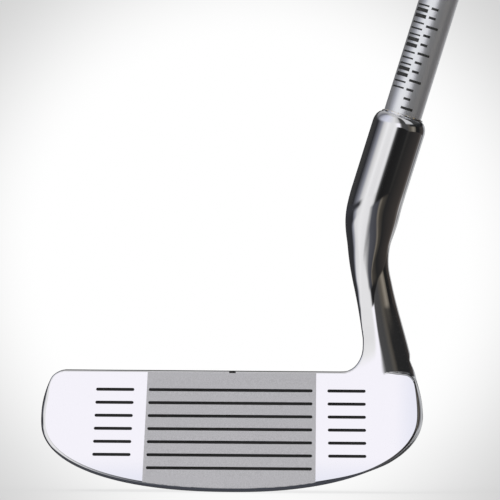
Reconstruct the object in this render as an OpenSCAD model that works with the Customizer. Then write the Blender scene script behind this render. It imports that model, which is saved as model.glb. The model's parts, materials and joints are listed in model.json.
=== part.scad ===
// Blade putter: a one-piece steel head with a swan neck, a steel shaft and a rubber grip.
// The face looks along -Y, the toe is at -X, the shaft leans towards +X, and +Z is up.
// The origin is on the ground, below the middle of the face's leading edge.

/* [Blade] */
// Distance from the face's middle to the end of the toe
toe_reach = 46.8; // [43:0.1:50]
// Distance from the face's middle to the end of the heel
heel_reach = 46.4; // [45:0.1:48]
// Height of the toe's widest level above the ground
toe_level = 17.3; // [15:0.1:19]
// Height of the heel's widest level above the ground
heel_level = 19.2; // [17:0.1:21]
// Height of the straight top line
top_h = 29.5; // [28:0.1:31]
// Thickness of the top line
top_t = 8; // [6:0.1:9]
// Loft of the face, in degrees
loft = 4; // [2:0.5:6]
// Radius of the blend between the top line and the neck
neck_fillet_r = 5.8; // [4:0.1:7]

/* [Sole flange] */
// Depth of the sole, from the leading edge to the back
sole_d = 29; // [24:0.5:32]
// Height of the flange at the back
flange_h = 9; // [5:0.1:10]
// Radius of the hollow between the flange and the back of the blade
cove_r = 11; // [7:0.5:12]

/* [Face marks] */
// Number of long grooves in the middle of the face
groove_count = 7; // [3:1:7]
// Distance between two grooves
groove_pitch = 3.19; // [2.8:0.01:3.25]
// Height of the lowest groove
groove_low = 5.75; // [5:0.05:7]
// Width of a groove
groove_w = 0.75; // [0.5:0.05:1]
// Depth of a groove
groove_d = 0.5; // [0.3:0.05:0.8]
// Length of the highest middle groove
centre_groove_l = 40.2; // [36:0.1:41]
// Length added to a middle groove's toe end, from one row to the next below
centre_slant = 0.09; // [0:0.01:0.2]
// Length of a toe or heel groove
side_groove_l = 9.4; // [6:0.1:9.6]
// Distance from the face's middle to the middle of the highest toe groove
toe_groove_x = 28.7; // [27.5:0.1:30]
// Step towards the toe, from one toe groove to the next below
toe_slant = 0.16; // [0:0.01:0.25]
// Distance from the face's middle to the middle of the highest heel groove
heel_groove_x = 28; // [27:0.1:30]
// Step towards the heel, from one heel groove to the next below
heel_slant = 0.06; // [0:0.01:0.25]
// Length of the sight notch across the top line
sight_l = 3.2; // [2:0.1:5]

/* [Neck and hosel] */
// Lie: angle between the shaft and the ground
lie = 73; // [70:0.5:76]
// Lean of the lower neck towards the toe
neck_lean = 12.4; // [8:0.1:15]
// Distance from the face's middle to the neck's bend
bend_x = 33.2; // [32:0.1:34]
// Height of the neck's bend
bend_z = 58.9; // [56:0.1:62]
// Bend radius above the bend's middle
bend_r_up = 50; // [45:1:55]
// Bend radius below the bend's middle
bend_r_down = 30; // [26:1:34]
// Outside diameter of the hosel
hosel_od = 13.2; // [12.8:0.1:14]
// Length of the straight hosel
hosel_l = 19.7; // [17:0.1:24]
// Depth of the shaft bore
bore_l = 25; // [20:0.5:26]
// Half-width of the neck at its slimmest place
neck_slim = 4.55; // [4.3:0.05:5]
// Half-width of the neck where it leaves the blade
neck_root = 5.3; // [5:0.1:5.6]
// Place of the shaft's axis behind the leading edge
shaft_y = 4.5; // [4:0.1:6]

/* [Shaft] */
// Diameter of the shaft at its tip
tip_od = 9.4; // [9.2:0.05:9.5]
// Diameter of the shaft under the grip
butt_od = 14.7; // [14.2:0.1:15.2]
// Wall thickness of the shaft
shaft_wall = 0.6; // [0.4:0.05:0.8]
// Number of diameter steps
step_count = 9; // [6:1:10]
// Distance from the tip to the first step
first_step = 260; // [240:5:300]
// Length of the club along its shaft, from the ground to the cap
club_l = 889; // [850:1:914]
// Radial thickness of the epoxy between shaft and bore
epoxy_t = 0.1; // [0.08:0.01:0.15]

/* [Grip] */
// Length of the grip
grip_l = 267; // [250:1:280]
// Diameter of the grip at its lower end
grip_mouth_d = 18.6; // [18:0.1:20]
// Width of the grip across its flat front, at the cap
grip_butt_w = 26; // [24:0.5:28]
// Extra depth of the pistol swell under the upper hand
pistol = 5; // [0:0.5:6]
// Thickness of the tape under the grip
tape_t = 0.2; // [0.15:0.01:0.3]
// Radius of the vent hole in the cap
vent_r = 1.6; // [1.2:0.1:2]

/* [Hidden] */
EPS = 0.01;
BIG = 200;
TRUE_ROUND = 96;
// Rounding of the hosel's top, and the thin lip left inside it
SHOULDER_R = 1.7;
LIP_W = 0.35;
LIP_H = 0.45;

lean = 90 - lie;
bore_r = tip_od / 2 + epoxy_t;
back_y = top_h * tan(loft) + top_t;

// Point where the upper bend meets the straight hosel
hosel_x = bend_x + bend_r_up * (1 - cos(lean));
hosel_z = bend_z + bend_r_up * sin(lean);
// Distance along the axis from the ground to the bottom of the hosel
hosel_s = hosel_z / cos(lean);
ground_x = hosel_x - hosel_z * tan(lean);
rim_s = hosel_s + hosel_l + LIP_H;
tip_s = rim_s - bore_l;

// Places along the shaft, measured from its tip
cap_t = 4;
shaft_l = club_l - cap_t - tip_s;
grip_s = club_l - cap_t - grip_l;

// Places what is drawn along +Z onto the shaft's axis, s above the ground
module on_axis(s = 0) {
    translate([ground_x, shaft_y, 0])
        rotate([0, lean, 0])
            translate([0, 0, s])
                children();
}

// Turns a flat drawing of X and height into a slab from y = 0 to y = depth
module slab(depth) {
    translate([0, depth, 0])
        rotate([90, 0, 0])
            linear_extrude(depth)
                children();
}

// ---- Blade outline, seen from the front ----
TOE_P = 2.3;
HEEL_P = 2.2;
TOE_SIDE_R = 24;
TOE_CORNER_R = 3.4;
HEEL_SIDE_R = 21;
HEEL_CORNER_R = 2;
SOLE_STEPS = 22;
ARC_STEPS = 6;

// Quarter of a superellipse, from its side (t = 0) down to the ground (t = 90)
function sole_point(a, b, p, t) = [a * pow(cos(t), 2 / p), b * (1 - pow(sin(t), 2 / p))];

// Centre of a corner circle that touches both the side arc and the top line
function corner_centre(reach, level, side_r, corner_r) =
    let (dz = top_h - corner_r - level, d = side_r - corner_r)
    [reach - side_r + sqrt(d * d - dz * dz), top_h - corner_r];

// Half of the outline, drawn for the +X side, from the ground to the top line
function half_outline(reach, level, p, side_r, corner_r) =
    let (c = corner_centre(reach, level, side_r, corner_r),
         meet = atan2(c[1] - level, c[0] - reach + side_r))
    concat(
        [for (i = [0:SOLE_STEPS]) sole_point(reach, level, p, 90 * (1 - i / SOLE_STEPS))],
        [for (i = [1:ARC_STEPS]) let (a = meet * i / ARC_STEPS)
            [reach - side_r + side_r * cos(a), level + side_r * sin(a)]],
        [for (i = [1:ARC_STEPS]) let (a = meet + (90 - meet) * i / ARC_STEPS)
            c + corner_r * [cos(a), sin(a)]]);

module blade_outline() {
    heel = half_outline(heel_reach, heel_level, HEEL_P, HEEL_SIDE_R, HEEL_CORNER_R);
    toe = half_outline(toe_reach, toe_level, TOE_P, TOE_SIDE_R, TOE_CORNER_R);
    polygon(concat(heel, [for (i = [len(toe) - 1:-1:1]) [-toe[i][0], toe[i][1]]]));
}

// How far the blend reaches into the rounded side of the neck
FILLET_BITE = 0.3;

// Hollow blend that carries the top line up into the toe side of the neck
module neck_fillet_outline() {
    x = neck_edge_x(top_h + neck_fillet_r) + FILLET_BITE;
    polygon(concat(
        [[x - neck_fillet_r, top_h - 1]],
        [for (i = [0:ARC_STEPS * 2]) let (a = -90 + 90 * i / (ARC_STEPS * 2))
            [x - neck_fillet_r + neck_fillet_r * cos(a),
             top_h + neck_fillet_r + neck_fillet_r * sin(a)]],
        [[x + 3, top_h + neck_fillet_r], [x + 3, top_h - 1]]));
}

// ---- Sole flange ----
PLAN_P = 2.3;
PLAN_STEPS = 24;

// Side profile of the flange, as points of depth and height
module flange_profile() {
    cy = back_y + cove_r;
    cz = flange_h + cove_r;
    polygon(concat(
        [[0, 0], [sole_d, 0], [sole_d, flange_h]],
        [for (i = [0:ARC_STEPS * 2]) let (a = -90 - 90 * i / (ARC_STEPS * 2))
            [cy + cove_r * cos(a), cz + cove_r * sin(a)]],
        [[0, cz]]));
}

// Plan of the flange: half of a superellipse that narrows towards toe and heel
module flange_plan() {
    polygon([for (i = [-PLAN_STEPS:PLAN_STEPS]) let (a = 90 * i / PLAN_STEPS)
        [(a < 0 ? toe_reach : heel_reach) * sign(a) * pow(abs(sin(a)), 2 / PLAN_P),
         sole_d * pow(cos(a), 2 / PLAN_P)]]);
}

module flange() {
    intersection() {
        slab(sole_d) blade_outline();
        translate([-BIG / 2, 0, 0])
            rotate([90, 0, 90])
                linear_extrude(BIG)
                    flange_profile();
        linear_extrude(top_h) flange_plan();
    }
}

// ---- Neck ----
NECK_FACETS = 40;
BEND_STEPS = 7;
ROOT_STEPS = 9;
ROOT_Z = 20;
ROOT_DEPTH = 3.2;
SLIM_Z = 51;
// The neck's front stands this far behind the face, so that the two don't share a plane
FRONT_STEP = 0.12;
// Part of the half-depth that is kept in front of the neck's middle at its root
ROOT_FLAT = 0.8;
ROOT_P = 2.7;

function smooth(t) = let (c = min(1, max(0, t))) c * c * (3 - 2 * c);
function mix(a, b, t) = a + (b - a) * t;

// Middle of the neck at the lower end of the lower bend
low_x = bend_x + bend_r_down * (1 - cos(neck_lean));
low_z = bend_z - bend_r_down * sin(neck_lean);

// Stations up the neck's middle line: x, z and tilt towards the heel
neck_line = concat(
    [for (i = [0:ROOT_STEPS - 1]) let (z = mix(ROOT_Z, low_z, i / ROOT_STEPS))
        [low_x + (low_z - z) * tan(neck_lean), z, -neck_lean]],
    [for (i = [0:BEND_STEPS - 1]) let (a = neck_lean * (1 - i / BEND_STEPS))
        [bend_x + bend_r_down * (1 - cos(a)), bend_z - bend_r_down * sin(a), -a]],
    [for (i = [0:BEND_STEPS]) let (a = lean * i / BEND_STEPS)
        [bend_x + bend_r_up * (1 - cos(a)), bend_z + bend_r_up * sin(a), a]],
    [[hosel_x + 2 * sin(lean), hosel_z + 2 * cos(lean), lean]]);

neck_top_w = hosel_od / 2 - 0.06;
function neck_w(z) = z < SLIM_Z
    ? mix(neck_root, neck_slim, smooth((z - ROOT_Z) / (SLIM_Z - ROOT_Z)))
    : mix(neck_slim, neck_top_w, smooth((z - SLIM_Z) / (hosel_z - SLIM_Z)));
function neck_depth(z) = z < top_h
    ? mix(ROOT_DEPTH, neck_root, smooth((z - ROOT_Z) / (top_h - ROOT_Z)))
    : mix(neck_root, neck_top_w, smooth((z - top_h) / (hosel_z - top_h)));
// 0 at the blade, 1 at the hosel
function neck_rise(z) = smooth((z - top_h) / (hosel_z - top_h));
function neck_front(z) = mix(z * tan(loft) + FRONT_STEP, shaft_y - neck_top_w, neck_rise(z));
function neck_edge_x(z) = low_x + (low_z - z) * tan(neck_lean) - neck_w(z) / cos(neck_lean);
function bulge(c, p) = sign(c) * pow(abs(c), 2 / p);

// Points round one station, flat in front where the neck leaves the face
function neck_ring(s) =
    let (w = neck_w(s[1]), d = neck_depth(s[1]), rise = neck_rise(s[1]),
         flat = d * mix(ROOT_FLAT, 1, rise), p = mix(ROOT_P, 2, rise),
         mid_y = neck_front(s[1]) + flat)
    [for (i = [0:NECK_FACETS - 1]) let (a = 360 * (i + 0.5) / NECK_FACETS, u = w * bulge(cos(a), p))
        [s[0] + u * cos(s[2]), mid_y + max(-flat, d * bulge(sin(a), p)), s[1] - u * sin(s[2])]];

// Closed skin over rings of points, each with the same number of points
module skin(rings) {
    n = len(rings[0]);
    m = len(rings);
    polyhedron(
        [for (r = rings) each r],
        concat(
            [[for (i = [0:n - 1]) i]],
            [for (k = [0:m - 2], i = [0:n - 1]) let (j = (i + 1) % n)
                [k * n + i, (k + 1) * n + i, (k + 1) * n + j]],
            [for (k = [0:m - 2], i = [0:n - 1]) let (j = (i + 1) % n)
                [k * n + i, (k + 1) * n + j, k * n + j]],
            [[for (i = [n - 1:-1:0]) (m - 1) * n + i]]));
}

module neck() {
    skin([for (s = neck_line) neck_ring(s)]);
}

// ---- Hosel ----

// Straight hosel with a rounded top that ends in a thin lip round the shaft
module hosel() {
    r = hosel_od / 2;
    lip_r = r - SHOULDER_R + LIP_W;
    on_axis(hosel_s)
        rotate_extrude($fn = TRUE_ROUND) {
            square([r, hosel_l - SHOULDER_R]);
            square([r - SHOULDER_R, hosel_l]);
            square([lip_r, hosel_l + LIP_H]);
            translate([r - SHOULDER_R, hosel_l - SHOULDER_R])
                intersection() {
                    circle(SHOULDER_R, $fn = TRUE_ROUND);
                    square(SHOULDER_R);
                }
        }
}

module shaft_bore() {
    on_axis(tip_s)
        cylinder(bore_l + 1, r = bore_r, $fn = TRUE_ROUND);
}

// ---- Grooves and the sight notch ----
SIGHT_W = 1.6;
SIGHT_D = 0.5;
CENTRE_SHIFT = 0.4;
function groove_z(i) = groove_low + groove_pitch * i;
function rows_below_top(i) = groove_count - 1 - i;

// Slot with round ends, cut square to the lofted face
module groove(x, z, length) {
    rotate([-loft, 0, 0])
        translate([x, 0, z / cos(loft)])
            rotate([-90, 0, 0]) {
                translate([-(length - groove_w) / 2, -groove_w / 2, 0])
                    cube([length - groove_w, groove_w, groove_d]);
                for (side = [-1, 1])
                    translate([side * (length - groove_w) / 2, 0, 0])
                        cylinder(groove_d, d = groove_w, $fn = 32);
            }
}

module centre_grooves() {
    for (i = [0:groove_count - 1]) let (more = centre_slant * rows_below_top(i))
        groove(-CENTRE_SHIFT - more / 2, groove_z(i), centre_groove_l + more);
}

// The short grooves stand beside all the long ones but the lowest
module side_grooves(side, x, slant) {
    for (i = [1:groove_count - 1])
        groove(side * (x + slant * rows_below_top(i)), groove_z(i), side_groove_l);
}

module toe_grooves() {
    side_grooves(-1, toe_groove_x, toe_slant);
}

module heel_grooves() {
    side_grooves(1, heel_groove_x, heel_slant);
}

// Notch over the top line, from the face to the back
module sight_notch() {
    intersection() {
        translate([-SIGHT_W / 2, 0, top_h - SIGHT_D])
            cube([SIGHT_W, sight_l + top_h * tan(loft), SIGHT_D]);
        behind_face();
    }
}

// Everything behind the plane of the face
module behind_face() {
    rotate([-loft, 0, 0])
        translate([-BIG / 2, 0, -BIG / 2])
            cube([BIG, BIG, BIG]);
}

// ---- Sub-parts ----
module club_head() {
    color("lightgray")
        difference() {
            union() {
                intersection() {
                    union() {
                        slab(back_y) blade_outline();
                        slab(back_y) neck_fillet_outline();
                        flange();
                    }
                    behind_face();
                }
                neck();
                hosel();
            }
            shaft_bore();
            centre_grooves();
            toe_grooves();
            heel_grooves();
            sight_notch();
        }
}

module centre_groove_paint() {
    color("black") centre_grooves();
}

module toe_groove_paint() {
    color("black") toe_grooves();
}

module heel_groove_paint() {
    color("black") heel_grooves();
}

module sight_notch_paint() {
    color("black") sight_notch();
}

tip_r = tip_od / 2;
butt_r = butt_od / 2;
STEP_CLEAR = 20;
last_step = grip_s - tip_s - STEP_CLEAR;
step_pitch = (last_step - first_step) / (step_count - 1);
step_r = (butt_r - tip_r) / step_count;
STEP_TAPER = 1.5;

// Outline of one side of the stepped tube, at radius r + grow
function shaft_side(grow) = concat(
    [[tip_r + grow, 0]],
    [for (i = [0:step_count - 1]) each [
        [tip_r + step_r * i + grow, first_step + step_pitch * i],
        [tip_r + step_r * (i + 1) + grow, first_step + step_pitch * i + STEP_TAPER]]],
    [[butt_r + grow, shaft_l]]);

module shaft() {
    outside = shaft_side(0);
    inside = shaft_side(-shaft_wall);
    color("silver")
        on_axis(tip_s)
            rotate_extrude($fn = TRUE_ROUND)
                polygon(concat(outside, [for (i = [len(inside) - 1:-1:0]) inside[i]]));
}

// ---- Printed bars on the shaft ----
INK_T = 0.05;
BAR_COUNT = 15;
BAR_PITCH = 1.5;
BAR_FIRST = 6;
BAR_THIN = 0.4;
BAR_THICK = 0.9;
TICK_COUNT = 12;
TICK_PITCH = 2.3;
TICK_FIRST = 1.3;
TICK_H = 0.6;

// Patch of ink on the shaft, h high and s above the hosel's rim, between two angles from the heel
module ink(s, h, from, to) {
    on_axis(rim_s + s)
        rotate([0, 0, from])
            rotate_extrude(angle = to - from, $fn = TRUE_ROUND)
                translate([tip_r, 0])
                    square([INK_T, h]);
}

// A column of thin and thick bars, and a column of short and long ticks beside it
module shaft_print() {
    color("dimgray") {
        for (i = [0:BAR_COUNT - 1])
            ink(BAR_FIRST + BAR_PITCH * i, i * i % 5 < 2 ? BAR_THIN : BAR_THICK, 202, 248);
        for (i = [0:TICK_COUNT - 1])
            ink(TICK_FIRST + TICK_PITCH * i, TICK_H, 257, i % 3 == 0 ? 294 : 278);
    }
}

module epoxy_bond() {
    color("khaki")
        on_axis(tip_s)
            difference() {
                cylinder(bore_l, r = bore_r, $fn = TRUE_ROUND);
                translate([0, 0, -EPS])
                    cylinder(bore_l + 2 * EPS, r = tip_r, $fn = TRUE_ROUND);
            }
}

PLUG_L = 12;

module tip_plug() {
    color("tan")
        on_axis(tip_s)
            cylinder(PLUG_L, r = tip_r - shaft_wall, $fn = TRUE_ROUND);
}

module grip_tape() {
    color("beige")
        on_axis(grip_s)
            difference() {
                cylinder(grip_l, r = butt_r + tape_t, $fn = TRUE_ROUND);
                translate([0, 0, -EPS])
                    cylinder(grip_l + 2 * EPS, r = butt_r, $fn = TRUE_ROUND);
            }
}

// ---- Grip ----
GRIP_FACETS = 48;
GRIP_STEPS = 22;
FLAT_P = 5;
SWELL_AT = 0.78;
SWELL_SPAN = 0.42;

function swell(t) = smooth(1 - abs(t - SWELL_AT) / SWELL_SPAN);

// Points round the grip at the part t of its length: flat in front, round behind
function grip_ring(t, z, grow = 0) =
    let (w = mix(grip_mouth_d, grip_butt_w, smooth(t * 1.2)) / 2 + grow,
         front = mix(grip_mouth_d / 2, butt_r + 2.4, smooth(t * 2)) + grow,
         back = mix(grip_mouth_d, grip_butt_w, t) / 2 + pistol * swell(t) + grow,
         p = mix(2, FLAT_P, smooth(t * 2)))
    [for (i = [0:GRIP_FACETS - 1]) let (a = 360 * i / GRIP_FACETS, c = cos(a))
        [c < 0 ? front * bulge(c, p) : back * bulge(c, 2),
         w * (c < 0 ? bulge(sin(a), mix(2, 2.3, smooth(t * 2))) : sin(a)),
         z]];

module grip() {
    color("dimgray")
        on_axis(grip_s)
            difference() {
                skin([for (i = [0:GRIP_STEPS]) grip_ring(i / GRIP_STEPS, grip_l * i / GRIP_STEPS)]);
                translate([0, 0, -1])
                    cylinder(grip_l + 2, r = butt_r + tape_t, $fn = TRUE_ROUND);
            }
}

SPIGOT_L = 8;
SPIGOT_CLEAR = 0.1;
CAP_INSET = 0.8;

module grip_cap() {
    outline = [for (p = grip_ring(1, 0, -CAP_INSET)) [p[0], p[1]]];
    color("black")
        on_axis(club_l - cap_t)
            difference() {
                union() {
                    linear_extrude(cap_t) polygon(outline);
                    translate([0, 0, -SPIGOT_L])
                        cylinder(SPIGOT_L + 1, r = butt_r - shaft_wall - SPIGOT_CLEAR, $fn = TRUE_ROUND);
                }
                translate([0, 0, -SPIGOT_L - 1])
                    cylinder(SPIGOT_L + cap_t + 2, r = vent_r, $fn = TRUE_ROUND);
            }
}

club_head();
centre_groove_paint();
toe_groove_paint();
heel_groove_paint();
sight_notch_paint();
shaft();
shaft_print();
epoxy_bond();
tip_plug();
grip_tape();
grip();
grip_cap();
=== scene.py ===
"""Blade putter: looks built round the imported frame. Metres, +Z up, face towards -Y, toe at -X."""

import json
import math

import bpy
import numpy as np
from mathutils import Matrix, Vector
from mathutils.geometry import delaunay_2d_cdt


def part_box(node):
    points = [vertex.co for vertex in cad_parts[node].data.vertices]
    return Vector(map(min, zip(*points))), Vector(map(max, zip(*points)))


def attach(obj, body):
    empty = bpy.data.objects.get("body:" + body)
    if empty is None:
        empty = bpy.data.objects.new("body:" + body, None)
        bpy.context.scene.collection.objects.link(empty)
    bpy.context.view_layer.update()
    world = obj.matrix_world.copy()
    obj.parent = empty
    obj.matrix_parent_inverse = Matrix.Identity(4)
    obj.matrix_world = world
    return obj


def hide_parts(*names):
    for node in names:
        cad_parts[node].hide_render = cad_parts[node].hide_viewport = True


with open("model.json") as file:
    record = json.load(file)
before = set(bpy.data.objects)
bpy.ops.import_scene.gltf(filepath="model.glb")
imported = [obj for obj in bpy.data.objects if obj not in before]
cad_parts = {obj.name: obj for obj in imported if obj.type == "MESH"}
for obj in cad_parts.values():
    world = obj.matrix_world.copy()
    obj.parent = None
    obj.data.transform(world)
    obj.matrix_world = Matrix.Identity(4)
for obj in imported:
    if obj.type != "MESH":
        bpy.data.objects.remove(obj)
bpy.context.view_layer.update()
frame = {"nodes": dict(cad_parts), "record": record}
MM = 0.001

# ---------------------------------------------------------------- driving dimensions, in mm


def cad_box(node):
    """Lowest and highest corner of a CAD node, in mm."""
    low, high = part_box(node)
    return np.array(low) / MM, np.array(high) / MM


def shaft_line():
    """Point on the ground and direction of the shaft's axis, from the vent hole in the grip's cap."""
    vent = next(m for m in frame["record"]["mounts"] if m["name"] == "grip_vent")
    point, along = np.array(vent["pos_m"]) / MM, np.array(vent["axis"])
    return point - along * point[2] / along[2], along


HEAD_LOW, HEAD_HIGH = cad_box("club_head")
NOTCH_HIGH = cad_box("sight_notch_paint")[1]
AXIS_FOOT, AXIS = shaft_line()
LEAN = math.atan2(AXIS[0], AXIS[2])
LOFT = math.radians(4)

# Height, depth and reaches of the blade, and the flange along its sole
TOP_H = NOTCH_HIGH[2]
SOLE_D = HEAD_HIGH[1]
TOE_REACH = -HEAD_LOW[0]
HEEL_REACH = 46.4
BLADE_BACK = TOP_H * math.tan(LOFT) + 8.0
TOE_LEVEL = 17.3
HEEL_LEVEL = 19.2
FLANGE_H = 9.0
COVE_R = 11.0

# The neck leans to the heel, bends at BEND_Z with one radius below and one above, and meets the hosel
NECK_LEAN = math.radians(12.4)
BEND_X, BEND_Z = 33.2, 58.9
BEND_UP, BEND_DOWN = 50.0, 30.0
HOSEL_R = 6.6
HOSEL_FOOT_Z = BEND_Z + BEND_UP * math.sin(LEAN)
HOSEL_L = 19.7
LIP_H = 0.45
RIM_S = HOSEL_FOOT_Z / math.cos(LEAN) + HOSEL_L + LIP_H
TIP_R = 4.7

# ---------------------------------------------------------------- the head as a distance field, in mm

# Heel end of the face, and how far the blade widens past it over the depth FLARE_D
FACE_HEEL = 45.75
FLARE = 1.05
FLARE_D = 4.6
# Side radius, corner radius and lower curve of the blade's outline at toe and heel
TOE_SIDE_R, HEEL_SIDE_R, HEEL_BACK_R = 23.0, 33.0, 21.0
TOE_CORNER_R, HEEL_CORNER_R = 2.1, 1.8
TOE_POWER, HEEL_POWER = 2.3, 2.2
# Where the top line starts to slope at the heel, and its slope
SHOULDER_X, SHOULDER_SLOPE = 36.5, 0.12
# Rounding between the face and the outline, and along the neck's front ridge
TOE_EDGE_R = 1.1
EDGE_R = 0.45
TOP_EDGE_R = 0.35
RIDGE_R = 0.3
# Corner between the face and the neck behind it
SHOULDER_FILLET = 0.35
# Neck: half widths at its root and waist, and the turns of its strip and flank
ROOT_W, WAIST_W, WAIST_Z = 5.4, 4.54, 52.5
STRIP_TURN = math.radians(14)
FLANK_TURN = math.radians(10)
LOW_X = BEND_X + BEND_DOWN * (1 - math.cos(NECK_LEAN))
LOW_Z = BEND_Z - BEND_DOWN * math.sin(NECK_LEAN)
HOSEL_X = BEND_X + BEND_UP * (1 - math.cos(LEAN))
# Heel side of the neck's root, the height where the neck ends below, and its fillet to the blade
NECK_RIGHT = 43.35
NECK_FOOT = 24.0
FILLET_R = 5.8
# Rounded top of the hosel, the lip in it and the blind bore
SHOULDER_R = 1.75
SHOULDER_L = 3.0
LIP_R = HOSEL_R - SHOULDER_R + 0.3
BORE_R = TIP_R + 0.1
BORE_L = 25.0


def smooth(t):
    """0 below 0, 1 above 1 and an easy curve between."""
    t = np.clip(t, 0, 1)
    return t * t * (3 - 2 * t)


def mix(a, b, t):
    """a where t is 0 and b where it is 1."""
    return a + (b - a) * t


def cut(a, b, r):
    """Both of two fields, with the edge between them rounded to radius r."""
    return np.minimum(-r, np.maximum(a, b)) + np.hypot(np.maximum(a + r, 0), np.maximum(b + r, 0))


def join(a, b, r):
    """Either of two fields, with the corner between them filled to radius r."""
    return np.maximum(r, np.minimum(a, b)) - np.hypot(np.maximum(r - a, 0), np.maximum(r - b, 0))


def superellipse(u, v, a, b, p):
    """Distance to |u/a|^p + |v/b|^p = 1 on the side where v is positive, true near the curve."""
    u, v = np.abs(u) / a, np.maximum(v, 0) / b
    g = np.maximum(u**p + v**p, 1e-3) ** (1 / p)
    slope = g ** (1 - p) * np.hypot(u ** (p - 1) / a, v ** (p - 1) / b)
    return (g - 1) / np.maximum(slope, 1e-3)


def face_y(z):
    """The lofted face plane at height z."""
    return z * math.tan(LOFT)


def rim_radius(x, z):
    """Rounding between the face and the outline: crisp along the top and round the heel."""
    return mix(mix(TOE_EDGE_R, EDGE_R, smooth((x - 20) / 15)), TOP_EDGE_R, smooth((z - 22) / 5))


def blade_outline(x, z, grow):
    """The blade seen from the front. grow widens its heel side and lifts its heel shoulder."""
    toe = x < 0
    a = np.where(toe, TOE_REACH, FACE_HEEL + grow)
    b = np.where(toe, TOE_LEVEL, HEEL_LEVEL)
    side_r = np.where(toe, TOE_SIDE_R, mix(HEEL_SIDE_R, HEEL_BACK_R, grow / FLARE))
    below = superellipse(x, b - z, a, b, np.where(toe, TOE_POWER, HEEL_POWER))
    above = np.hypot(np.maximum(np.abs(x) - a + side_r, 0), z - b) - side_r
    rise = 0.3 * smooth((x - 37.1) / 1.5) + 0.5 * grow * smooth((x - 37) / 3)
    shoulder = SHOULDER_SLOPE * np.maximum(x - SHOULDER_X, 0) - rise
    corner = np.where(toe, TOE_CORNER_R, HEEL_CORNER_R)
    return cut(np.where(z < b, below, above), z - TOP_H + shoulder, corner)


def blade(x, y, z):
    """Blade and sole flange, running on in front of the face."""
    back = np.clip((y - face_y(z)) / FLARE_D, 0, 1)
    grow = FLARE * smooth((x - 32) / 7) * back * (2 - back)
    side = join(y - BLADE_BACK, z - FLANGE_H, COVE_R)
    plan = superellipse(x, y, np.where(x < 0, TOE_REACH + 0.8, HEEL_REACH + 2.2), SOLE_D, 2.3)
    return cut(blade_outline(x, z, grow), cut(side, plan, 2.0), 0.9)


def neck_frame(x, z):
    """Offset from the neck's middle line (heel side positive) and the height of the nearest point on it."""
    low_a = np.arctan2(z - BEND_Z, BEND_X + BEND_DOWN - x)
    low_u = BEND_DOWN - np.hypot(z - BEND_Z, BEND_X + BEND_DOWN - x)
    low_h = BEND_Z + BEND_DOWN * np.sin(low_a)
    s, c = math.sin(NECK_LEAN), math.cos(NECK_LEAN)
    straight = low_a < -NECK_LEAN
    low_u = np.where(straight, (x - LOW_X) * c + (z - LOW_Z) * s, low_u)
    low_h = np.where(straight, LOW_Z + ((z - LOW_Z) * c - (x - LOW_X) * s) * c, low_h)
    up_a = np.arctan2(z - BEND_Z, BEND_X + BEND_UP - x)
    up_u = BEND_UP - np.hypot(z - BEND_Z, BEND_X + BEND_UP - x)
    up_h = BEND_Z + BEND_UP * np.sin(up_a)
    s, c = math.sin(LEAN), math.cos(LEAN)
    straight = up_a > LEAN
    up_u = np.where(straight, (x - HOSEL_X) * c - (z - HOSEL_FOOT_Z) * s, up_u)
    up_h = np.where(straight, HOSEL_FOOT_Z + ((z - HOSEL_FOOT_Z) * c + (x - HOSEL_X) * s) * c, up_h)
    return np.where(z < BEND_Z, low_u, up_u), np.where(z < BEND_Z, low_h, up_h)


def neck_half_width(h):
    """Half the neck's width, from its root past its waist to the hosel."""
    low = mix(ROOT_W, WAIST_W, smooth((h - 30) / 20))
    high = mix(WAIST_W, HOSEL_R, smooth((h - WAIST_Z) / (HOSEL_FOOT_Z - WAIST_Z)))
    return np.where(h < WAIST_Z, low, high)


def neck_front(z):
    """Front of the neck: the plane of the face low down, the front of the hosel at the top."""
    return mix(face_y(z), AXIS_FOOT[1] - HOSEL_R, smooth((z - 45) / (HOSEL_FOOT_Z - 45)))


def neck_core(u, v, h):
    """Toe side, heel wall and back of the neck, open in front."""
    w = neck_half_width(h)
    depth = mix(8.0, 10.5, smooth((h - 16) / 16)) - 1.0 * smooth((h - 34) / 18)
    toe_wall = -w - u - smooth((39.5 - h) / 7)
    return cut(cut(toe_wall, u - w - 0.8 * ridge_radius(h), 2.0), v - depth, 4.2)


def neck_strip(u, v, h):
    """The flat strip that carries the face up the neck and turns towards the toe as it climbs."""
    turn = STRIP_TURN * smooth((h - 30) / 12) * (1 - smooth((h - 56) / 17))
    return -(u - ridge_offset(h)) * np.sin(turn) - v * np.cos(turn) * math.cos(LOFT)


def ridge_offset(h):
    """Place of the ridge between strip and flank, off the neck's middle line."""
    return -0.34 * neck_half_width(h) * (1 - smooth((h - 36) / 28))


def ridge_radius(h):
    """Rounding of that ridge: crisp low down, soft by the hosel."""
    return mix(RIDGE_R, 2.0, smooth((h - 52) / 14))


def neck_flank(u, v, h):
    """Rounded heel side of the neck, from the ridge to the heel wall."""
    w = neck_half_width(h) + 0.35 * (1 - smooth((h - 50) / 12))
    start = FLANK_TURN * (1 - smooth((h - 50) / 16))
    radius = (w - ridge_offset(h)) / (1 - np.sin(start))
    across = np.maximum(u - w + radius, 0)
    return np.hypot(across, np.minimum(1.3 * v - radius * np.cos(start), 0)) - radius


def along_shaft(x, y, z):
    """Distance from the shaft's axis and distance along it from the ground."""
    s, c = math.sin(LEAN), math.cos(LEAN)
    dx, dy = x - AXIS_FOOT[0], y - AXIS_FOOT[1]
    return np.hypot(dx * c - z * s, dy), dx * s + z * c


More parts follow.
